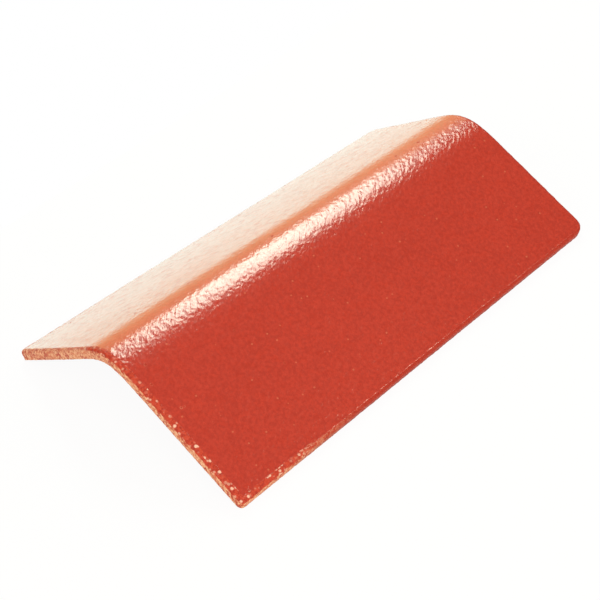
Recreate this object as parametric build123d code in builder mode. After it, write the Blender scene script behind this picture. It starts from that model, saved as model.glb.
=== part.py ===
from build123d import *
from math import atan2, cos, degrees, radians, sin
import os

# Ridge tile for a pitched roof: two flat wings that meet in a round crest, pressed in one piece.
# It lies along Y, narrows towards the high Y end, and stands on the heels of its wings at Z = 0.
# Millimetres and degrees. Until it is set down, its ridge is level and both outer faces would meet at Z = 0.

# Section across the ridge
front_wing_width = 162.0  # outer face of a wing at the low Y end, from where both outer faces would meet
back_wing_width = 145.0  # the same at the high Y end
wing_pitch_angle = 28.0  # fall of a wing below level, so the wings open at 124 degrees
wall = 9.0  # thickness, the same over the wings and the crest
crest_radius = 54.0  # outer round over the ridge

# Run along the ridge
tile_length = 400.0

# Edges and corners
rim_radius = 3.0  # rounded rim all round the outer faces
heel_radius = 0.8  # small round all round the inner faces, which the tile stands on
front_corner_ease = 1.0  # corner of the outer face inside the rim, at the low Y end
back_corner_ease = 7.0  # the same at the high Y end, whose corners are rounder

# A wing's corners are rounded through the wall, far enough for the rim to follow them round
front_corner_radius = rim_radius + front_corner_ease
back_corner_radius = rim_radius + back_corner_ease

pitch_sin = sin(radians(wing_pitch_angle))
pitch_cos = cos(radians(wing_pitch_angle))

# The broad faces are the largest ones: two wings and the crest, outside and inside
BROAD_FACES = 6


def tip(side, wing_width, place):
    """Lower end of an outer face on one side of the ridge, at a place along it."""
    return Vector(side * wing_width * pitch_cos, place, -wing_width * pitch_sin)


def lower_side(side):
    """Plane of a wing's lower side: along the wing's edge, square to the wing, facing away from it."""
    front_tip = tip(side, front_wing_width, -tile_length / 2)
    edge = tip(side, back_wing_width, tile_length / 2) - front_tip
    wing_normal = Vector(side * pitch_sin, 0, pitch_cos)
    return Plane(front_tip, x_dir=edge, z_dir=edge.cross(wing_normal) * side)


def rim_of(skin):
    """Outline of two wings and their crest, without the long seams along which they meet."""
    crest = skin.sort_by(SortBy.AREA)[0]
    return skin.edges() - crest.edges().group_by(SortBy.LENGTH)[-1]


with BuildPart() as ridge_tile:
    # The section is a roof line with a rounded ridge, thickened inwards to the wall
    reach = front_wing_width * pitch_cos
    fall = front_wing_width * pitch_sin
    with BuildSketch(Plane.XZ):
        with BuildLine():
            FilletPolyline((-reach, -fall), (0, 0), (reach, -fall), radius=crest_radius)
            offset(amount=wall, side=Side.RIGHT)
        make_face()
    extrude(amount=tile_length / 2, both=True)

    # The wings narrow along the tile: each is cut off at its lower side
    for side in (-1, 1):
        split(bisect_by=lower_side(side), keep=Keep.BOTTOM)

    # Corners of the wings: the short edges through the wall at each end
    for end, corner_radius in ((0, front_corner_radius), (-1, back_corner_radius)):
        end_face = ridge_tile.faces().sort_by(Axis.Y)[end]
        fillet(end_face.edges().group_by(SortBy.LENGTH)[0], radius=corner_radius)

    # Rim of the outer faces, which look up, and of the inner faces, which look down
    for facing, edge_radius in ((1, rim_radius), (-1, heel_radius)):
        broad_faces = ridge_tile.faces().sort_by(SortBy.AREA)[-BROAD_FACES:]
        skin = broad_faces.filter_by(lambda face: face.normal_at().Z * facing > 0)
        fillet(rim_of(skin), radius=edge_radius)

# Set down with its lower edges level, so the ridge falls towards the narrow end
ridge_fall_angle = degrees(atan2((front_wing_width - back_wing_width) * pitch_sin, tile_length))
tile = ridge_tile.part.rotate(Axis.X, -ridge_fall_angle)
box = tile.bounding_box()
tile = tile.moved(Pos(0, -box.center().Y, -box.min.Z))
tile.label = "ridge_tile"

os.makedirs("parts", exist_ok=True)
export_step(tile, "parts/ridge_tile.step")
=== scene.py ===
"""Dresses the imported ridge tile: a tile pressed from sand and polymer, in a plain white studio.

Metres throughout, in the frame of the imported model. The ridge runs along Y, the tile stands on Z = 0,
and the end nearest to the camera is the low Y end.
"""
from __future__ import annotations

import itertools
import logging
import math
from dataclasses import dataclass, fields
from enum import Enum
from typing import Any, Mapping, Sequence, Union

import bpy
import numpy as np
from mathutils import Matrix, Vector


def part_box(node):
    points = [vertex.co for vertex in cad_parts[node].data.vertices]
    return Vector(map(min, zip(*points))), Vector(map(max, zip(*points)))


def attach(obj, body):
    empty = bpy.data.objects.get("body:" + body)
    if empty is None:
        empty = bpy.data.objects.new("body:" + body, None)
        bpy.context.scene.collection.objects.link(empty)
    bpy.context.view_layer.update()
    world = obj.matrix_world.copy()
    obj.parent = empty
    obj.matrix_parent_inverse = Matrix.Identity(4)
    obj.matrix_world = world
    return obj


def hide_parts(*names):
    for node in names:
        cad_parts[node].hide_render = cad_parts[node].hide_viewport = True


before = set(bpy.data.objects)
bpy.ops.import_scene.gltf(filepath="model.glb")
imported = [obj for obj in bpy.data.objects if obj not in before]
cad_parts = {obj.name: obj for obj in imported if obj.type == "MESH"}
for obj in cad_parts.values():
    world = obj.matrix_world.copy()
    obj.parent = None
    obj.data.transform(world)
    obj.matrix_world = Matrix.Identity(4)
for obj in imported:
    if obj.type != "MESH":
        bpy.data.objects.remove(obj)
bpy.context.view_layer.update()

LOG = logging.getLogger("ridge_tile")
MM = 0.001

Colour = tuple[float, float, float]
Triple = tuple[float, float, float]
Span = tuple[float, float]
Values = Union[float, np.ndarray]
Number = Union["Wire", float]
ColourInput = Union["Wire", Colour]

WHITE: Colour = (1.0, 1.0, 1.0)


class Wire:
    """An output socket of a shader node, which takes part in shader maths like a number."""

    def __init__(self, bench: NodeBench, socket: bpy.types.NodeSocket) -> None:
        """Keeps the bench that adds nodes and the socket that this wire starts from."""
        self.bench = bench
        self.socket = socket

    def _math(self, operation: str, *values: Number) -> Wire:
        """Adds one Math node.

        Args:
            operation: Name of the Math node's operation.
            values: Wires or numbers, in the order of the node's inputs.

        Returns:
            The node's result.
        """
        return self.bench.wire("ShaderNodeMath", {"operation": operation}, dict(enumerate(values)))

    def __add__(self, other: Number) -> Wire:
        """Sum."""
        return self._math("ADD", self, other)

    def __radd__(self, other: float) -> Wire:
        """Sum, with the number first."""
        return self._math("ADD", other, self)

    def __sub__(self, other: Number) -> Wire:
        """Difference."""
        return self._math("SUBTRACT", self, other)

    def __rsub__(self, other: float) -> Wire:
        """Difference, with the number first."""
        return self._math("SUBTRACT", other, self)

    def __mul__(self, other: Number) -> Wire:
        """Product."""
        return self._math("MULTIPLY", self, other)

    def __rmul__(self, other: float) -> Wire:
        """Product, with the number first."""
        return self._math("MULTIPLY", other, self)

    def larger(self, other: Number) -> Wire:
        """The larger of two values."""
        return self._math("MAXIMUM", self, other)

    def step(self, low: float, high: float) -> Wire:
        """Smooth step.

        Args:
            low: Value at and beyond which the step is 0.
            high: Value at and beyond which the step is 1. It may lie below low.

        Returns:
            A value from 0 to 1.
        """
        settings = {"interpolation_type": "SMOOTHSTEP", "clamp": True}
        return self.bench.wire("ShaderNodeMapRange", settings, {0: self, 1: low, 2: high, 3: 0.0, 4: 1.0})


class NodeBench:
    """Adds nodes to one shader tree and wires them up."""

    def __init__(self, tree: bpy.types.NodeTree) -> None:
        """Takes over a shader tree and empties it."""
        self.tree = tree
        tree.nodes.clear()

    def node(
        self, kind: str, settings: Mapping[str, Any], sockets: Mapping[Union[str, int], Any]
    ) -> bpy.types.Node:
        """Adds one node of any type.

        Args:
            kind: Blender's name for the node type.
            settings: Properties of the node, set before its sockets.
            sockets: Values or wires for the inputs, by name or by number.

        Returns:
            The node.
        """
        node = self.tree.nodes.new(kind)
        for name, value in settings.items():
            setattr(node, name, value)
        for name, value in sockets.items():
            if isinstance(value, Wire):
                self.tree.links.new(value.socket, node.inputs[name])
            else:
                node.inputs[name].default_value = value
        return node

    def wire(
        self,
        kind: str,
        settings: Mapping[str, Any],
        sockets: Mapping[Union[str, int], Any],
        output: Union[str, int] = 0,
    ) -> Wire:
        """Adds one node and takes one of its outputs.

        Args:
            kind: Blender's name for the node type.
            settings: Properties of the node, set before its sockets.
            sockets: Values or wires for the inputs, by name or by number.
            output: Name or number of the output.

        Returns:
            The output as a wire.
        """
        return Wire(self, self.node(kind, settings, sockets).outputs[output])

    def tint(self, share: Number, first: ColourInput, second: ColourInput) -> Wire:
        """Mixes two colours.

        Args:
            share: Share of the second colour, from 0 to 1.
            first: Colour at share 0.
            second: Colour at share 1.

        Returns:
            The mixed colour.
        """
        # The Mix node has a pair of inputs for each type of data: 2 and 3 for values, 6 and 7 for colours
        sockets = {0: share, 6: opaque(first), 7: opaque(second)}
        return self.wire("ShaderNodeMix", {"data_type": "RGBA"}, sockets, 2)

    def blend(self, share: Wire, first: Number, second: Number) -> Wire:
        """Mixes two values.

        Args:
            share: Share of the second value, from 0 to 1.
            first: Value at share 0.
            second: Value at share 1.

        Returns:
            The mixed value.
        """
        return self.wire("ShaderNodeMix", {"data_type": "FLOAT"}, {0: share, 2: first, 3: second})

    def rays(self) -> tuple[Wire, Wire, Wire]:
        """Tells the rays of light apart.

        Returns:
            Values that are 1 for a ray from the camera, from gloss and through clear material, or else 0.
        """
        path = self.node("ShaderNodeLightPath", {}, {})
        names = ("Is Camera Ray", "Is Glossy Ray", "Is Transmission Ray")
        camera, gloss, through = (Wire(self, path.outputs[name]) for name in names)
        return camera, gloss, through


def opaque(colour: ColourInput) -> Union[Wire, tuple[float, ...]]:
    """Gives a plain colour its fourth number, and leaves a wire as it is."""
    return colour if isinstance(colour, Wire) else (*colour, 1.0)


@dataclass(frozen=True)
class Noise:
    """Smooth random pattern of a finish.

    size is the rough size of its largest blotches. layers is the number of finer layers on top, and falloff
    is the strength of each as a share of the one before. fade holds the values at which its mask is 0 and 1.
    """

    size: float
    layers: float = 2.0
    falloff: float = 0.5
    fade: Span = (0.0, 1.0)

    def at(self, bench: NodeBench, place: Wire) -> Wire:
        """The pattern: a value from 0 to 1, mostly near one half."""
        shape = {"Scale": 1 / self.size, "Detail": self.layers, "Roughness": self.falloff}
        return bench.wire("ShaderNodeTexNoise", {}, {"Vector": place, **shape}, "Fac")

    def mask(self, bench: NodeBench, place: Wire) -> Wire:
        """The pattern's smooth step over its fade, which sets off its blotches."""
        return self.at(bench, place).step(*self.fade)

    def swing(self, bench: NodeBench, place: Wire, span: float) -> Wire:
        """The pattern less one half, times a span: a value on both sides of zero."""
        return (self.at(bench, place) - 0.5) * span


@dataclass(frozen=True)
class Specks:
    """Round specks of a finish, one at most in each cell of a random pattern.

    spacing is the rough distance between the cells' middles, and share is the share of cells with a speck.
    A speck is full up to core times its radius, in the cells whose draw is below sure times the share.
    """

    spacing: float
    radius: float
    share: float
    core: float = 0.5
    sure: float = 0.8

    def at(self, bench: NodeBench, place: Wire) -> Wire:
        """Wires up the specks: a step of the distance from a cell's middle times a step of its draw.

        Args:
            bench: Bench of the material.
            place: Coordinates that the specks follow.

        Returns:
            1 on a speck and 0 elsewhere, with a soft border.
        """
        cells = bench.node("ShaderNodeTexVoronoi", {}, {"Vector": place, "Scale": 1 / self.spacing})
        away = Wire(bench, cells.outputs["Distance"])
        draw = bench.wire("ShaderNodeSeparateColor", {}, {0: Wire(bench, cells.outputs["Color"])})
        edge = self.radius / self.spacing
        return away.step(edge, edge * self.core) * draw.step(self.share, self.share * self.sure)


@dataclass(frozen=True)
class PressedSkin:
    """Glossy pebbled skin of the outer faces, where the press leaves the polymer on top."""

    red: Colour = (0.612, 0.043, 0.019)
    deep_red: Colour = (0.494, 0.030, 0.013)
    clouds: Noise = Noise(45 * MM)
    mottle: Noise = Noise(2.8 * MM, layers=3.0, falloff=0.6)
    mottle_share: float = 0.85
    red_fade: Span = (0.32, 0.68)
    fleck: Colour = (0.820, 0.210, 0.100)
    flecks: Specks = Specks(spacing=7 * MM, radius=1.1 * MM, share=0.28)
    fleck_strength: float = 0.5
    # Pit spots, where the skin gives way to the dull finish and the closed edge's dark red: painted shade of
    # their hollows
    pits_painted_dark: Specks = Specks(spacing=13 * MM, radius=1.6 * MM, share=0.35)
    gloss_tint: Colour = (1.0, 0.82, 0.66)
    gloss_level: float = 1.0
    refraction: float = 1.7
    roughness: float = 0.22
    roughness_spread: float = 0.12
    dull_grains: Noise = Noise(3 * MM)
    coat_weight: float = 0.65
    coat_loss: float = 0.25
    coat_patches: Noise = Noise(9 * MM, layers=3.0, falloff=0.6, fade=(0.42, 0.70))
    coat_roughness: float = 0.30
    coat_refraction: float = 1.5
    peel: Noise = Noise(2.8 * MM)
    peel_depth: float = 0.52 * MM
    peel_turn: float = math.radians(45)
    peel_stretch: float = 2.2

    def colour(self, bench: NodeBench, place: Wire) -> Wire:
        """Red with soft clouds, fine mottling and pale flecks of sand.

        Args:
            bench: Bench of the material.
            place: Coordinates that the patterns follow.

        Returns:
            The colour.
        """
        clouds = self.clouds.at(bench, place) * (1 - self.mottle_share)
        mottle = self.mottle.at(bench, place) * self.mottle_share
        red = bench.tint((clouds + mottle).step(*self.red_fade), self.deep_red, self.red)
        return bench.tint(self.flecks.at(bench, place) * self.fleck_strength, red, self.fleck)

    def coat(self, bench: NodeBench, place: Wire) -> Wire:
        """Strength of the clear coat, which is thinner in patches."""
        return self.coat_weight - self.coat_patches.mask(bench, place) * self.coat_loss

    def dullness(self, bench: NodeBench, place: Wire) -> Wire:
        """Roughness that changes a little from grain to grain."""
        return self.dull_grains.swing(bench, place, self.roughness_spread) + self.roughness

    def height(self, bench: NodeBench, place: Wire) -> Wire:
        """Orange peel: soft pebbles with a finer grain on them, drawn out aslant over the ridge.

        Args:
            bench: Bench of the material.
            place: Coordinates that the pattern follows.

        Returns:
            The height.
        """
        sockets = {"Vector": place, "Rotation": (0, 0, self.peel_turn), "Scale": (1, self.peel_stretch, 1)}
        aslant = bench.wire("ShaderNodeMapping", {"vector_type": "TEXTURE"}, sockets)
        return self.peel.swing(bench, aslant, self.peel_depth)


@dataclass(frozen=True)
class GrainyRim:
    """Rough beaded finish round the rim of the outer faces, where grains break the skin, with pale beads as
    painted glints.
    """

    dark_red: Colour = (0.440, 0.036, 0.016)
    red: Colour = (0.590, 0.062, 0.026)
    grains: Noise = Noise(2.6 * MM, falloff=0.6, fade=(0.36, 0.58))
    # Pale bead colour: painted glints of the lamps on the rim's grains
    sand: Colour = (0.880, 0.520, 0.360)
    beads: Specks = Specks(spacing=3.4 * MM, radius=1.8 * MM, share=0.55)
    painted_glint_groups: Noise = Noise(18 * MM, layers=1.0, fade=(0.40, 0.56))
    roughness: float = 0.40
    lumps: Noise = Noise(2.6 * MM, layers=1.0)
    lump_depth: float = 1.2 * MM

    def colour(self, bench: NodeBench, place: Wire) -> Wire:
        """Dark and bright red grains with groups of pale sand-coloured beads, painted glints of the lamps.

        Args:
            bench: Bench of the material.
            place: Coordinates that the patterns follow.

        Returns:
            The colour.
        """
        red = bench.tint(self.grains.mask(bench, place), self.dark_red, self.red)
        # Pale beads in groups: painted glints
        beads = self.beads.at(bench, place) * self.painted_glint_groups.mask(bench, place)
        return bench.tint(beads, red, self.sand)

    def height(self, bench: NodeBench, place: Wire) -> Wire:
        """Lumps, one beside the other."""
        return self.lumps.swing(bench, place, self.lump_depth)


@dataclass(frozen=True)
class SandyEdge:
    """Dull finish of the end faces and the lower edges: open sand grain at the low Y end, elsewhere red
    painted darker as shade.
    """

    sand: Colour = (0.900, 0.470, 0.270)
    ochre: Colour = (0.680, 0.180, 0.082)
    red: Colour = (0.520, 0.053, 0.021)
    # Red of the closed grain, painted darker as the shade on the lower sides that face away from the lamps
    closed_red_with_painted_shade: Colour = (0.420, 0.028, 0.012)
    grains: Noise = Noise(2.4 * MM, layers=3.0, falloff=0.6, fade=(0.40, 0.62))
    closed_grain_strength: float = 0.4
    binder_patches: Noise = Noise(7 * MM, fade=(0.38, 0.62))
    gloss_level: float = 0.20
    refraction: float = 1.5
    roughness: float = 0.60
    lumps: Noise = Noise(2.4 * MM, falloff=0.6)
    lump_depth: float = 0.60 * MM

    def colour(self, bench: NodeBench, place: Wire, opened: Wire) -> Wire:
        """Sand grains in ochre and red binder where the grain is open, and elsewhere dull red, painted
        darker as shade.

        Args:
            bench: Bench of the material.
            place: Coordinates that the patterns follow.
            opened: 1 where the grain is open, 0 where it is closed.

        Returns:
            The colour.
        """
        grains = self.grains.mask(bench, place)
        binder = bench.tint(self.binder_patches.mask(bench, place), self.red, self.ochre)
        sandy = bench.tint(grains, binder, self.sand)
        # Closed grain: red painted darker as shade of the lower sides
        closed = bench.tint(grains * self.closed_grain_strength, self.closed_red_with_painted_shade, self.red)
        return bench.tint(opened, closed, sandy)

    def height(self, bench: NodeBench, place: Wire) -> Wire:
        """Coarse sand, grain beside grain."""
        return self.lumps.swing(bench, place, self.lump_depth)


@dataclass(frozen=True)
class MattUnderside:
    """Dull inner faces, which lie on the roof."""

    red: Colour = (0.430, 0.055, 0.030)
    dust: Colour = (0.560, 0.150, 0.080)
    clouds: Noise = Noise(30 * MM, layers=3.0)
    grains: Noise = Noise(1.6 * MM, falloff=0.6)
    grain_share: float = 0.55
    grain_depth: float = 0.35 * MM
    dust_fade: Span = (0.40, 0.70)
    dust_strength: float = 0.6
    roughness: float = 0.72

    def colour(self, bench: NodeBench, place: Wire) -> Wire:
        """Dull red with sandy clouds.

        Args:
            bench: Bench of the material.
            place: Coordinates that the patterns follow.

        Returns:
            The colour.
        """
        clouds = self.clouds.at(bench, place) * (1 - self.grain_share)
        grains = self.grains.at(bench, place) * self.grain_share
        dusty = (clouds + grains).step(*self.dust_fade) * self.dust_strength
        return bench.tint(dusty, self.red, self.dust)

    def height(self, bench: NodeBench, place: Wire) -> Wire:
        """Sandy grain."""
        return self.grains.swing(bench, place, self.grain_depth)


class Zone(Enum):
    """Parts of the tile's surface that the mesh marks for the material, by the name of the mark."""

    SKIN = "skin"
    RIM = "rim"
    OPEN = "open_grain"
    UNDER = "underside"


@dataclass(frozen=True)
class TileFinish:
    """The tile's one material: glossy skin on top, a grainy rim, sandy edges and a matt underside.

    A border between finishes is a mark of the mesh, made ragged by a pattern and stepped over a fade.
    """

    skin: PressedSkin = PressedSkin()
    rim: GrainyRim = GrainyRim()
    edge: SandyEdge = SandyEdge()
    under: MattUnderside = MattUnderside()
    border: Noise = Noise(3 * MM)
    border_raggedness: float = 0.9
    border_fade: Span = (0.35, 0.65)
    under_fade: Span = (0.40, 0.60)

    @staticmethod
    def mark(bench: NodeBench, zone: Zone) -> Wire:
        """Reads one of the mesh's marks."""
        return bench.wire("ShaderNodeAttribute", {"attribute_name": zone.value}, {}, "Fac")

    def build(self) -> bpy.types.Material:
        """Builds the material.

        Returns:
            The material: a glossy shader for the skin over a dull one for the rim, the edges, the underside
            and the pit spots of the skin, whose dark red is painted shade of their hollows.
        """
        material = bpy.data.materials.new("ridge_tile_pressed")
        material.use_nodes = True
        bench = NodeBench(material.node_tree)
        place = bench.wire("ShaderNodeTexCoord", {}, {}, "Object")
        ragged = self.border.swing(bench, place, self.border_raggedness)
        # Pit spots take the dull shader and a dark red, painted shade of their hollows
        whole = 1 - self.skin.pits_painted_dark.at(bench, place)
        skin = (self.mark(bench, Zone.SKIN) + ragged).step(*self.border_fade) * whole
        rim = (self.mark(bench, Zone.RIM) + ragged).step(*self.border_fade)
        under = (self.mark(bench, Zone.UNDER) + ragged).step(*self.under_fade)

        opened = self.mark(bench, Zone.OPEN) * whole
        colour = bench.tint(under, self.edge.colour(bench, place, opened), self.under.colour(bench, place))
        height = bench.blend(under, self.edge.height(bench, place), self.under.height(bench, place))
        height = bench.blend(rim, height, self.rim.height(bench, place))
        height = bench.blend(skin, height, self.skin.height(bench, place))
        dull = bench.blend(under, self.edge.roughness, self.under.roughness)
        bump = bench.wire("ShaderNodeBump", {}, {"Strength": 1.0, "Distance": 1.0, "Height": height})
        grainy = bench.wire(
            "ShaderNodeBsdfPrincipled",
            {},
            {
                "Base Color": bench.tint(rim, colour, self.rim.colour(bench, place)),
                "Roughness": bench.blend(rim, dull, self.rim.roughness),
                "IOR": self.edge.refraction,
                "Specular IOR Level": self.edge.gloss_level,
                "Normal": bump,
            },
        )
        glossy = bench.wire(
            "ShaderNodeBsdfPrincipled",
            {},
            {
                "Base Color": self.skin.colour(bench, place),
                "Roughness": self.skin.dullness(bench, place),
                "IOR": self.skin.refraction,
                "Specular IOR Level": self.skin.gloss_level,
                "Specular Tint": opaque(self.skin.gloss_tint),
                "Coat Weight": self.skin.coat(bench, place),
                "Coat Roughness": self.skin.coat_roughness,
                "Coat IOR": self.skin.coat_refraction,
                "Normal": bump,
            },
        )
        shader = bench.wire("ShaderNodeMixShader", {}, {0: skin, 1: grainy, 2: glossy})
        bench.node("ShaderNodeOutputMaterial", {}, {"Surface": shader})
        return material


@dataclass(frozen=True)
class Ripple:
    """Smooth random relief of one size, the same on every run.

    cell is the size of a cell of its lattice, slope is its steepness, and period is the number of cells
    after which it repeats.
    """

    cell: float
    slope: float
    seed: int
    period: int = 48

    def at(self, points: np.ndarray) -> np.ndarray:
        """Height of the relief.

        Each corner of a cubic lattice has a random unit slope. A point's height is the height of the eight
        sloping planes around it, blended by 6t^5 - 15t^4 + 10t^3 of its place t in the lattice cell.

        Args:
            points: Places, one row of three each.

        Returns:
            One height for each place.
        """
        slopes = np.random.default_rng(self.seed).normal(size=(self.period,) * 3 + (3,))
        slopes /= np.linalg.norm(slopes, axis=-1, keepdims=True)
        lattice = points / self.cell
        corner = np.floor(lattice).astype(int)
        inside = lattice - corner
        ease = inside**3 * (inside * (inside * 6 - 15) + 10)
        total = np.zeros(len(points))
        for step in itertools.product((0, 1), repeat=3):
            share = np.prod(np.where(step, ease, 1 - ease), axis=1)
            column = (corner + step) % self.period
            plane = slopes[column[:, 0], column[:, 1], column[:, 2]]
            total += share * np.sum(plane * (inside - step), axis=1)
        return total * self.cell * self.slope


def smooth_step(value: np.ndarray, low: Values, high: Values) -> np.ndarray:
    """Rises from 0 at low to 1 at high by 3t^2 - 2t^3."""
    t = np.clip((value - low) / (high - low), 0, 1)
    return t * t * (3 - 2 * t)


@dataclass(frozen=True)
class CrestLine:
    """Outer line across the ridge: a round that eases into a straight slope on both sides.

    The easing begins one ease before the place where the round alone would meet the slope, and ends one ease
    after it. Places on the line are summed up over the given number of steps.
    """

    radius: float = 43.45 * MM
    ease: float = 18 * MM
    pitch: float = math.radians(28)
    steps: int = 4000

    @property
    def reach(self) -> float:
        """Way from the top to where the line is straight."""
        return self.radius * self.pitch + self.ease

    @property
    def overrun(self) -> float:
        """Distance of a point of the slope from the sharp ridge, less the way to it over the line."""
        across, _ = self.place(np.array([self.reach]))
        return float(across[0]) / math.cos(self.pitch) - self.reach

    def angle(self, way: np.ndarray) -> np.ndarray:
        """Angle of the line below level.

        It is the way divided by the radius, but no more than the pitch less ease / radius times the square
        of the share of the easing that is still to go.

        Args:
            way: Ways over the line from its top, to both sides.

        Returns:
            The angles, with the sign of the way.
        """
        left = np.clip((self.reach - np.abs(way)) / (2 * self.ease), 0, 1)
        eased = self.pitch - self.ease / self.radius * left**2
        return np.sign(way) * np.minimum(np.abs(way) / self.radius, eased)

    def place(self, way: np.ndarray) -> tuple[np.ndarray, np.ndarray]:
        """Places on the line, as the sums of the cosine and the sine of its angle along the way.

        Args:
            way: Ways over the line from its top, to both sides.

        Returns:
            Places across the ridge, and heights from the top of the line.
        """
        middle = (np.arange(self.steps) + 0.5) * self.reach / self.steps
        knots = np.linspace(0, self.reach, self.steps + 1)
        width = self.reach / self.steps
        out = np.concatenate([[0], np.cumsum(np.cos(self.angle(middle)))]) * width
        down = np.concatenate([[0], np.cumsum(np.sin(self.angle(middle)))]) * width
        on_line = np.minimum(np.abs(way), self.reach)
        beyond = np.abs(way) - on_line
        across = np.interp(on_line, knots, out) + beyond * math.cos(self.pitch)
        fall = np.interp(on_line, knots, down) + beyond * math.sin(self.pitch)
        return np.sign(way) * across, -fall


@dataclass
class Plate:
    """Points of the flat plate before it is bent, one entry each.

    across and along are places on the outer face, and depth is the depth below it. lean is the turn of the
    surface from facing out of the outer face (0) over the edge (half pi) to facing out of the inner face
    (pi). inset is the way inwards from the rim. out_across and out_along point out of the plate's outline,
    in its plane.
    """

    across: np.ndarray
    along: np.ndarray
    depth: np.ndarray
    lean: np.ndarray
    inset: np.ndarray
    out_across: np.ndarray
    out_along: np.ndarray

    @classmethod
    def joined(cls, plates: Sequence[Plate]) -> Plate:
        """Puts the points of several plates into one list, in order."""
        names = [item.name for item in fields(cls)]
        return cls(*(np.concatenate([getattr(plate, name) for plate in plates]) for name in names))


@dataclass
class PressedTile:
    """The whole tile: one plate with rounded corners and edges, bent over the ridge.

    The grid's cells are narrower over the crest, which takes crest_share of the columns, and at the
    borders, from which they grow inwards. The steps count the rings over the rim, the side and the heel.
    The marks for the material fade over turns of the surface, over places along the tile and across it,
    and over shares of how far the rim's beads reach inwards.
    """

    name: str = "pressed_ridge_tile"
    node: str = "ridge_tile"
    body: str = "root"
    slot: str = "tile_body"
    length: float = 400 * MM
    front_wing: float = 162 * MM
    back_wing: float = 145 * MM
    crest: CrestLine = CrestLine()
    wall: float = 9 * MM
    rim_radius: float = 3 * MM
    heel_radius: float = 0.8 * MM
    front_ease: float = 1 * MM
    back_ease: float = 7 * MM
    columns: int = 220
    rows: int = 310
    crest_cell_share: float = 0.65
    crest_share: float = 0.18
    border_cell_share: float = 0.4
    border_growth: float = 1.25
    rim_steps: int = 5
    side_steps: int = 4
    heel_steps: int = 2
    sway: Ripple = Ripple(cell=90 * MM, slope=0.010, seed=3)
    pebbles: Ripple = Ripple(cell=2.7 * MM, slope=0.085, seed=5)
    grit: Ripple = Ripple(cell=2.6 * MM, slope=0.16, seed=7)
    beads: Ripple = Ripple(cell=3.0 * MM, slope=0.15, seed=11)
    skin_end: float = math.radians(22)
    rim_end: Span = (math.radians(40), math.radians(75))
    under_from: Span = (math.radians(110), math.radians(170))
    bead_reach: float = 3.6 * MM
    bead_fade: Span = (0.7, 1.3)
    bare_share: float = 1 / 3
    low_bead_share: float = 0.45
    low_bead_from: float = -60 * MM
    open_from: float = -60 * MM
    open_to: float = -196 * MM
    finish: TileFinish = TileFinish()

    @property
    def taper(self) -> float:
        """Turn of a wing's lower edge from the ridge, in the plane of the wing."""
        return math.atan2(self.front_wing - self.back_wing, self.length)

    @property
    def ridge_fall(self) -> float:
        """Fall of the ridge towards the narrow end, once the lower edges are level."""
        return math.atan2((self.front_wing - self.back_wing) * math.sin(self.crest.pitch), self.length)

    def half_sheet(self, along: np.ndarray) -> np.ndarray:
        """Way over the outer face from the top of the crest to a wing's tip."""
        wing = (self.front_wing + self.back_wing) / 2 - along * math.tan(self.taper)
        return wing - self.crest.overrun

    def bend(self, plate: Plate) -> tuple[np.ndarray, np.ndarray, np.ndarray]:
        """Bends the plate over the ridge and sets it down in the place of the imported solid.

        A point is the crest line's place at its way across, minus its depth along the line's normal there.
        All of it is then turned about X by the fall of the ridge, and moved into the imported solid's box.

        Args:
            plate: Points of the flat plate.

        Returns:
            Points, normals of the outer face above them, and directions down the slope across it.
        """
        angle = self.crest.angle(plate.across)
        level = np.zeros_like(angle)
        normal = np.stack([np.sin(angle), level, np.cos(angle)], axis=1)
        slope = np.stack([np.cos(angle), level, -np.sin(angle)], axis=1)
        across, height = self.crest.place(plate.across)
        points = np.stack([across, plate.along, height], axis=1) - plate.depth[:, None] * normal
        turn = np.array(Matrix.Rotation(self.ridge_fall, 3, "X"))
        points, normal, slope = points @ turn, normal @ turn, slope @ turn
        low, high = (np.array(corner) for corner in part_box(self.node))
        points[:, 1] += (low[1] + high[1] - points[:, 1].min() - points[:, 1].max()) / 2
        points[:, 2] += low[2] - points[:, 2].min()
        return points, normal, slope

    def lines(self, cells: int, half: float, middle_share: float = 0.0) -> np.ndarray:
        """Places of the grid's lines: even cells that narrow towards both borders by a steady growth.

        Args:
            cells: Number of cells.
            half: Half of the distance to cover.
            middle_share: Share of the cells, in the middle, that are as narrow as over the crest.

        Returns:
            Places from -half to half, one more than the cells.
        """
        order = np.arange(cells)
        from_border = np.minimum(order, order[::-1])
        width = np.minimum(1, self.border_cell_share * self.border_growth**from_border)
        width *= np.where(np.abs(order - order.mean()) < middle_share * cells / 2, self.crest_cell_share, 1)
        ends = np.concatenate([[0], np.cumsum(width)])
        return half * (2 * ends / ends[-1] - 1)

    def outer_face(self) -> Plate:
        """Grid of the outer face inside the rim.

        The grid's lines across narrow with the tile. Near a corner, a point's places p and q from the middle
        of the corner's round, as shares of its radius, go to p times the root of 1 - q^2/2 and q times the
        root of 1 - p^2/2, which turns a square into a quarter disc. The way out of a side is square to its
        tapered edge.

        Returns:
            The grid's points, row after row along the ridge.
        """
        half_along = self.length / 2 - self.rim_radius
        along_lines = self.lines(self.rows, half_along)
        share_lines = self.lines(self.columns, 1.0, self.crest_share)
        along, share = np.meshgrid(along_lines, share_lines, indexing="ij")
        along, share = along.ravel(), share.ravel()
        half_across = self.half_sheet(along) - self.rim_radius / math.cos(self.taper)
        across = share * half_across
        ease = np.where(along > 0, self.back_ease, self.front_ease)
        p = np.clip((np.abs(across) - half_across) / ease + 1, 0, 1)
        q = np.clip((np.abs(along) - half_along) / ease + 1, 0, 1)
        round_p, round_q = p * np.sqrt(1 - q * q / 2), q * np.sqrt(1 - p * p / 2)
        across -= np.sign(across) * (p - round_p) * ease
        along -= np.sign(along) * (q - round_q) * ease
        flat = np.zeros_like(across)
        out_along = np.sign(along) * round_q + round_p * math.tan(self.taper) * (1 - round_q)
        inset = np.minimum(half_across - np.abs(across), half_along - np.abs(along))
        return Plate(across, along, flat, flat, inset, np.sign(across) * round_p, out_along)

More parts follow.
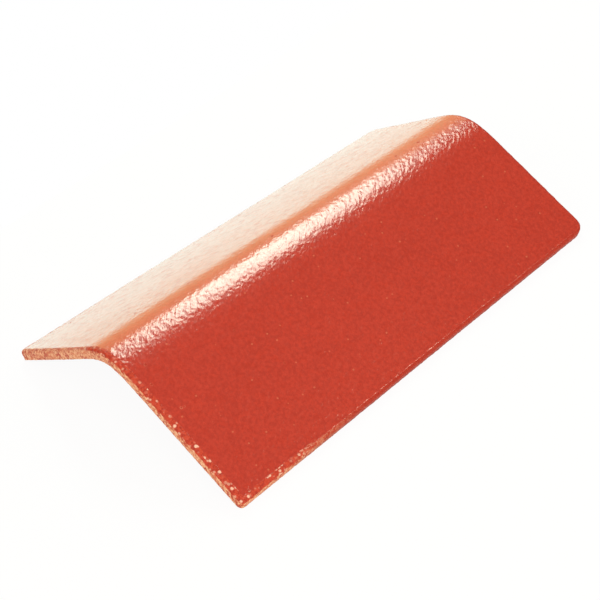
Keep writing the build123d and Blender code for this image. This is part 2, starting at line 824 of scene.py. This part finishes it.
    @staticmethod
    def numbers(rows: int, columns: int) -> np.ndarray:
        """Numbers of a grid's points, one row for each line across."""
        return np.arange((rows + 1) * (columns + 1)).reshape(rows + 1, columns + 1)

    @staticmethod
    def outline(rows: int, columns: int) -> np.ndarray:
        """Numbers of a grid's border points, once round against the clock as seen from outside."""
        grid = PressedTile.numbers(rows, columns)
        return np.concatenate([grid[0, :-1], grid[:-1, -1], grid[-1, :0:-1], grid[:0:-1, 0]])

    def rings(self, face: Plate) -> list[Plate]:
        """Rings of points from the outer face over the rim, down the side and round the heel.

        The rim and the heel are quarter circles. A ring of the rim stands out from the outer face's border
        by the sine of its turn and lies below it by one less its cosine, times the radius. The heel is the
        same the other way up, and the side between them is straight.

        Args:
            face: The outer face.

        Returns:
            The rings, from the rim down to the border of the inner face.
        """
        quarter = math.pi / 2
        rim_turn = np.linspace(0, quarter, self.rim_steps + 1)[1:]
        heel_turn = np.linspace(0, quarter, self.heel_steps + 1)
        side_depth = np.linspace(self.rim_radius, self.wall - self.heel_radius, self.side_steps + 1)[1:-1]
        out = np.concatenate([
            self.rim_radius * np.sin(rim_turn),
            np.full_like(side_depth, self.rim_radius),
            self.rim_radius - self.heel_radius * (1 - np.cos(heel_turn)),
        ])
        depth = np.concatenate([
            self.rim_radius * (1 - np.cos(rim_turn)),
            side_depth,
            self.wall - self.heel_radius * (1 - np.sin(heel_turn)),
        ])
        lean = np.concatenate([rim_turn, np.full_like(side_depth, quarter), quarter + heel_turn])
        border = self.outline(self.rows, self.columns)
        across, along = face.across[border], face.along[border]
        out_across, out_along = face.out_across[border], face.out_along[border]
        size = np.hypot(out_across, out_along)
        out_across, out_along = out_across / size, out_along / size
        ones = np.ones_like(across)
        return [
            Plate(
                across=across + way_out * out_across,
                along=along + way_out * out_along,
                depth=way_down * ones,
                lean=turn * ones,
                inset=0 * ones,
                out_across=out_across,
                out_along=out_along,
            )
            for way_out, way_down, turn in zip(out, depth, lean)
        ]

    def inner_face(self, face: Plate, last_ring: Plate) -> Plate:
        """Grid of the inner face, with every second line of the outer one and the last ring as its border.

        Args:
            face: The outer face.
            last_ring: The heel's last ring.

        Returns:
            The grid's points.
        """
        keep = self.numbers(self.rows, self.columns)[::2, ::2].ravel()
        across, along = face.across[keep], face.along[keep]
        border = self.outline(self.rows // 2, self.columns // 2)
        across[border], along[border] = last_ring.across[::2], last_ring.along[::2]
        full = np.ones_like(across)
        return Plate(across, along, self.wall * full, math.pi * full, 0 * full, 0 * full, 0 * full)

    @staticmethod
    def grid_faces(rows: int, columns: int) -> np.ndarray:
        """Squares of a grid that faces up.

        Args:
            rows: Number of squares along the grid.
            columns: Number of squares across it.

        Returns:
            Four point numbers for each square.
        """
        grid = PressedTile.numbers(rows, columns)
        corners = [grid[:-1, :-1], grid[:-1, 1:], grid[1:, 1:], grid[1:, :-1]]
        return np.stack([corner.ravel() for corner in corners], axis=1)

    @staticmethod
    def band_faces(upper: np.ndarray, lower: np.ndarray) -> np.ndarray:
        """Squares between two rings with as many points each, facing outwards."""
        return np.stack([lower, np.roll(lower, -1), np.roll(upper, -1), upper], axis=1)

    @staticmethod
    def halving_faces(upper: np.ndarray, lower: np.ndarray) -> np.ndarray:
        """Triangles from a ring to one with half as many points.

        Args:
            upper: Point numbers of the finer ring.
            lower: Point numbers of the coarser ring.

        Returns:
            Three point numbers for each triangle, and three triangles for each point of the coarser ring.
        """
        first, middle, last = upper[::2], upper[1::2], np.roll(upper[::2], -1)
        after = np.roll(lower, -1)
        triples = [(lower, middle, first), (lower, after, middle), (after, last, middle)]
        return np.concatenate([np.stack(triple, axis=1) for triple in triples])

    def plate(self) -> tuple[Plate, list[list[int]]]:
        """Makes the flat plate: outer face, rings over the edge, and inner face, closed all round.

        Returns:
            Its points, and its faces as lists of point numbers.
        """
        face = self.outer_face()
        rings = self.rings(face)
        inner = self.inner_face(face, rings[-1])
        points = Plate.joined([face, *rings[:-1], inner])

        count = len(rings[0].across)
        start = len(face.across)
        loops = [self.outline(self.rows, self.columns)]
        loops += [start + order * count + np.arange(count) for order in range(len(rings) - 1)]
        inner_start = start + (len(rings) - 1) * count
        half_rows, half_columns = self.rows // 2, self.columns // 2
        inner_loop = inner_start + self.outline(half_rows, half_columns)
        squares = [self.grid_faces(self.rows, self.columns)]
        squares += [self.band_faces(upper, lower) for upper, lower in zip(loops, loops[1:])]
        squares += [inner_start + self.grid_faces(half_rows, half_columns)[:, ::-1]]
        faces = np.concatenate(squares).tolist() + self.halving_faces(loops[-1], inner_loop).tolist()
        return points, faces

    def relief(self, plate: Plate, points: np.ndarray, normal: np.ndarray, slope: np.ndarray) -> np.ndarray:
        """Adds the relief of the press to the bent plate.

        The whole wall sways softly along its normal. The skin is pebbled, the rim is beaded, and the edges
        and the underside are gritty, along the direction that the surface faces: the normal times the cosine
        of the lean plus the way out of the outline times its sine. Nothing goes below the floor.

        Args:
            plate: Points of the flat plate.
            points: The same points, bent.
            normal: Normals of the outer face above them.
            slope: Directions down the slope across it.

        Returns:
            The moved points.
        """
        outwards = plate.out_across[:, None] * slope
        outwards[:, 1] += plate.out_along
        facing = np.cos(plate.lean)[:, None] * normal + np.sin(plate.lean)[:, None] * outwards
        skin = self.skin_mark(plate)
        rough = skin * self.pebbles.at(points) + (1 - skin) * self.grit.at(points)
        rough += self.rim_mark(plate) * self.beads.at(points)
        moved = points + self.sway.at(points)[:, None] * normal + rough[:, None] * facing
        moved[:, 2] = np.maximum(moved[:, 2], 0)
        return moved

    def open_mark(self, plate: Plate) -> np.ndarray:
        """1 at the low Y end, where the edge is open grain, falling to 0 along the tile."""
        return 1 - smooth_step(plate.along, self.open_to, self.open_from)

    def bead_spread(self, plate: Plate) -> np.ndarray:
        """1 on the high X wing, falling beyond the crest to the low X wing's smaller share of beads and
        their painted glints.
        """
        high_side = smooth_step(plate.across, self.low_bead_from, 0)
        return self.low_bead_share + (1 - self.low_bead_share) * high_side

    def skin_mark(self, plate: Plate) -> np.ndarray:
        """Marks the glossy skin.

        Args:
            plate: Points of the flat plate.

        Returns:
            1 on the outer face, falling to 0 over the rim, and before it where the grain is open.
        """
        reach = self.bead_reach * self.bead_spread(plate)
        worn = self.open_mark(plate) * (1 - smooth_step(plate.inset, reach * self.bare_share, reach))
        return (1 - smooth_step(plate.lean, 0, self.skin_end)) * (1 - worn)

    def rim_mark(self, plate: Plate) -> np.ndarray:
        """Marks the beaded rim, where the pale beads are painted glints.

        Args:
            plate: Points of the flat plate.

        Returns:
            1 round the open rim, falling to 0 a short way into the outer face and before the side.
        """
        spread = self.bead_spread(plate)
        near, far = (self.bead_reach * spread * share for share in self.bead_fade)
        inside = 1 - smooth_step(plate.inset, near, far)
        above = 1 - smooth_step(plate.lean, *self.rim_end)
        return self.open_mark(plate) * spread * inside * above

    def under_mark(self, plate: Plate) -> np.ndarray:
        """1 on the inner face, 0 on the sides."""
        return smooth_step(plate.lean, *self.under_from)

    def build(self) -> bpy.types.Object:
        """Builds the tile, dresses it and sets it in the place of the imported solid.

        Returns:
            The tile's object.
        """
        plate, faces = self.plate()
        points = self.relief(plate, *self.bend(plate))
        mesh = bpy.data.meshes.new(self.name)
        mesh.from_pydata(points.tolist(), [], faces)
        marks = {
            Zone.SKIN: self.skin_mark(plate),
            Zone.RIM: self.rim_mark(plate),
            Zone.OPEN: self.open_mark(plate),
            Zone.UNDER: self.under_mark(plate),
        }
        for zone, mark in marks.items():
            attribute = mesh.attributes.new(zone.value, "FLOAT", "POINT")
            attribute.data.foreach_set("value", mark.astype(np.float32))
        mesh.polygons.foreach_set("use_smooth", np.ones(len(faces), dtype=bool))
        mesh.materials.append(self.finish.build())
        mesh.validate()
        tile = bpy.data.objects.new(self.name, mesh)
        bpy.context.scene.collection.objects.link(tile)
        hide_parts(self.node)
        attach(tile, self.body)
        return tile


def towards(azimuth: float, elevation: float) -> Vector:
    """Works out a direction.

    Args:
        azimuth: Degrees from low Y towards high X.
        elevation: Degrees above level.

    Returns:
        The direction, one long.
    """
    turn, rise = math.radians(azimuth), math.radians(elevation)
    return Vector((math.sin(turn) * math.cos(rise), -math.cos(turn) * math.cos(rise), math.sin(rise)))


@dataclass(frozen=True)
class SoftBox:
    """A flat studio lamp that looks at the tile.

    Its angles are in degrees, and its height is upright until the lamp is rolled about its axis.
    """

    name: str
    azimuth: float
    elevation: float
    distance: float
    width: float
    height: float
    radiance: float
    colour: Colour = WHITE
    roll: float = 0.0
    aim: Triple = (0.0, -0.02, 0.07)

    def build(self) -> bpy.types.Object:
        """Builds the lamp, whose power is its radiance times pi times its area.

        Returns:
            The lamp's object.
        """
        data = bpy.data.lights.new(self.name, "AREA")
        data.shape = "RECTANGLE"
        data.size = self.width
        data.size_y = self.height
        data.color = self.colour
        data.energy = self.radiance * math.pi * self.width * self.height
        lamp = bpy.data.objects.new(self.name, data)
        back = towards(self.azimuth, self.elevation)
        lamp.location = Vector(self.aim) + back * self.distance
        upright = back.to_track_quat("Z", "Y").to_matrix()
        lamp.rotation_euler = (upright @ Matrix.Rotation(math.radians(self.roll), 3, "Z")).to_euler()
        bpy.context.scene.collection.objects.link(lamp)
        return lamp


@dataclass
class Studio:
    """White floor, soft lamps, and a room that gloss sees as dim apart from one warm glow.

    The floor reaches to floor_left on the low X side and out to floor_half on the others. glow_way points to
    the middle of the glow, and glow_fade holds the cosines of the angles from it where the glow ends and is
    full.
    """

    floor_half: float = 1.2
    floor_left: float = -0.31
    floor_white: Colour = (0.92, 0.87, 0.77)
    floor_glow_share: float = 0.94
    floor_gloss_glow: float = 0.93
    floor_gloss_tint: Colour = (0.45, 0.96, 0.94)
    room_light: Colour = (0.54, 0.50, 0.46)
    room_dim: Colour = (0.06, 0.055, 0.05)
    room_glow: Colour = (1.25, 0.86, 0.44)
    glow_way: Triple = (-0.866, 0.480, 0.139)
    glow_fade: Span = (0.79, 0.97)
    lamps: tuple[SoftBox, ...] = (
        SoftBox(
            "back_left_softbox",
            azimuth=-132.0,
            elevation=44.4,
            distance=1.4,
            width=0.46,
            height=0.86,
            radiance=7.0,
            colour=(0.68, 0.96, 0.94),
            roll=40.0,
        ),
        SoftBox(
            "front_right_softbox",
            azimuth=64.0,
            elevation=42.0,
            distance=2.0,
            width=1.20,
            height=1.20,
            radiance=3.6,
            colour=(1.0, 0.98, 0.95),
        ),
        SoftBox(
            "front_softbox",
            azimuth=5.0,
            elevation=38.0,
            distance=2.0,
            width=0.90,
            height=0.90,
            radiance=2.6,
            colour=(1.0, 0.98, 0.95),
        ),
        SoftBox(
            "back_right_softbox",
            azimuth=127.0,
            elevation=32.0,
            distance=1.5,
            width=0.30,
            height=0.50,
            radiance=6.0,
            colour=(1.0, 0.94, 0.84),
        ),
    )

    def floor_finish(self) -> bpy.types.Material:
        """Builds the material of the white matt floor, which glows where the camera or gloss sees it.

        Returns:
            The material: for the camera, a share of plain white light over a matt white that keeps the
            shadow, and for gloss and clear material, a cool glow on top of the matt white.
        """
        material = bpy.data.materials.new("studio_floor_white")
        material.use_nodes = True
        bench = NodeBench(material.node_tree)
        camera, gloss, through = bench.rays()
        matt = bench.wire("ShaderNodeBsdfDiffuse", {}, {"Color": opaque(self.floor_white)})
        glow = bench.wire("ShaderNodeEmission", {}, {"Strength": 1.0})
        seen = bench.wire("ShaderNodeMixShader", {}, {0: camera * self.floor_glow_share, 1: matt, 2: glow})
        strength = gloss.larger(through) * self.floor_gloss_glow
        sockets = {"Color": opaque(self.floor_gloss_tint), "Strength": strength}
        mirrored = bench.wire("ShaderNodeEmission", {}, sockets)
        both = bench.wire("ShaderNodeAddShader", {}, {0: seen, 1: mirrored})
        bench.node("ShaderNodeOutputMaterial", {}, {"Surface": both})
        return material

    def floor(self) -> bpy.types.Object:
        """Builds the floor: a rectangle at Z = 0 that ends close to the tile on the low X side.

        Returns:
            The floor's object.
        """
        across, along = np.meshgrid([self.floor_left, self.floor_half], [-self.floor_half, self.floor_half])
        points = np.stack([across.ravel(), along.ravel(), np.zeros(across.size)], axis=1)
        mesh = bpy.data.meshes.new("studio_floor")
        mesh.from_pydata(points.tolist(), [], PressedTile.grid_faces(1, 1).tolist())
        mesh.materials.append(self.floor_finish())
        floor = bpy.data.objects.new("studio_floor", mesh)
        bpy.context.scene.collection.objects.link(floor)
        return floor

    def sky(self) -> bpy.types.World:
        """Builds what surrounds the tile.

        Matt surfaces get the room's plain light. Gloss sees a dim room with a warm glow round one direction,
        which fades between two cosines of the angle from it. The camera and clear material see plain white.

        Returns:
            The world.
        """
        world = bpy.data.worlds.new("studio_sky")
        world.use_nodes = True
        bench = NodeBench(world.node_tree)
        ray = bench.wire("ShaderNodeTexCoord", {}, {}, "Generated")
        sockets = {0: ray, 1: self.glow_way}
        cosine = bench.wire("ShaderNodeVectorMath", {"operation": "DOT_PRODUCT"}, sockets, "Value")
        mirrored = bench.tint(cosine.step(*self.glow_fade), self.room_dim, self.room_glow)
        camera, gloss, through = bench.rays()
        light = bench.tint(gloss, self.room_light, mirrored)
        light = bench.tint(camera.larger(through), light, WHITE)
        background = bench.wire("ShaderNodeBackground", {}, {"Color": light, "Strength": 1.0})
        bench.node("ShaderNodeOutputWorld", {}, {"Surface": background})
        bpy.context.scene.world = world
        return world

    def build(self) -> list[bpy.types.Object]:
        """Builds the sky, the floor and the lamps.

        Returns:
            The floor and the lamps.
        """
        self.sky()
        return [self.floor(), *(lamp.build() for lamp in self.lamps)]


@dataclass
class PhotoCamera:
    """The camera that took the photograph, worked out from the tile's outline in it.

    Its angles are in degrees, and its lens and sensor in millimetres.
    """

    place: Triple = (0.95966, -0.69456, 0.93039)
    azimuth: float = 54.554
    elevation: float = 38.117
    roll: float = -11.589
    lens: float = 108.65
    sensor: float = 36.0

    def build(self) -> bpy.types.Object:
        """Builds the camera and makes it the scene's own.

        Its back points to the azimuth and the elevation. Its right side is level until it is rolled.

        Returns:
            The camera's object.
        """
        back = towards(self.azimuth, self.elevation)
        turn = math.radians(self.azimuth)
        level = Vector((math.cos(turn), math.sin(turn), 0))
        upright = Matrix((level, back.cross(level), back)).transposed()
        rolled = upright @ Matrix.Rotation(math.radians(self.roll), 3, "Z")
        data = bpy.data.cameras.new("photo_camera")
        data.lens = self.lens
        data.sensor_width = self.sensor
        data.sensor_fit = "HORIZONTAL"
        camera = bpy.data.objects.new("photo_camera", data)
        camera.matrix_world = Matrix.Translation(self.place) @ rolled.to_4x4()
        bpy.context.scene.collection.objects.link(camera)
        bpy.context.scene.camera = camera
        return camera


def main() -> None:
    """Builds the tile, the studio and the camera, in that order, and logs each piece."""
    logging.basicConfig(level=logging.INFO, format="%(name)s: %(message)s")
    bpy.context.scene.view_settings.view_transform = "Standard"
    tile = PressedTile().build()
    LOG.info("%s: %d points, %d faces", tile.name, len(tile.data.vertices), len(tile.data.polygons))
    for piece in (*Studio().build(), PhotoCamera().build()):
        LOG.info("%s: set at (%.2f, %.2f, %.2f) m", piece.name, *piece.location)


if __name__ == "__main__":
    main()
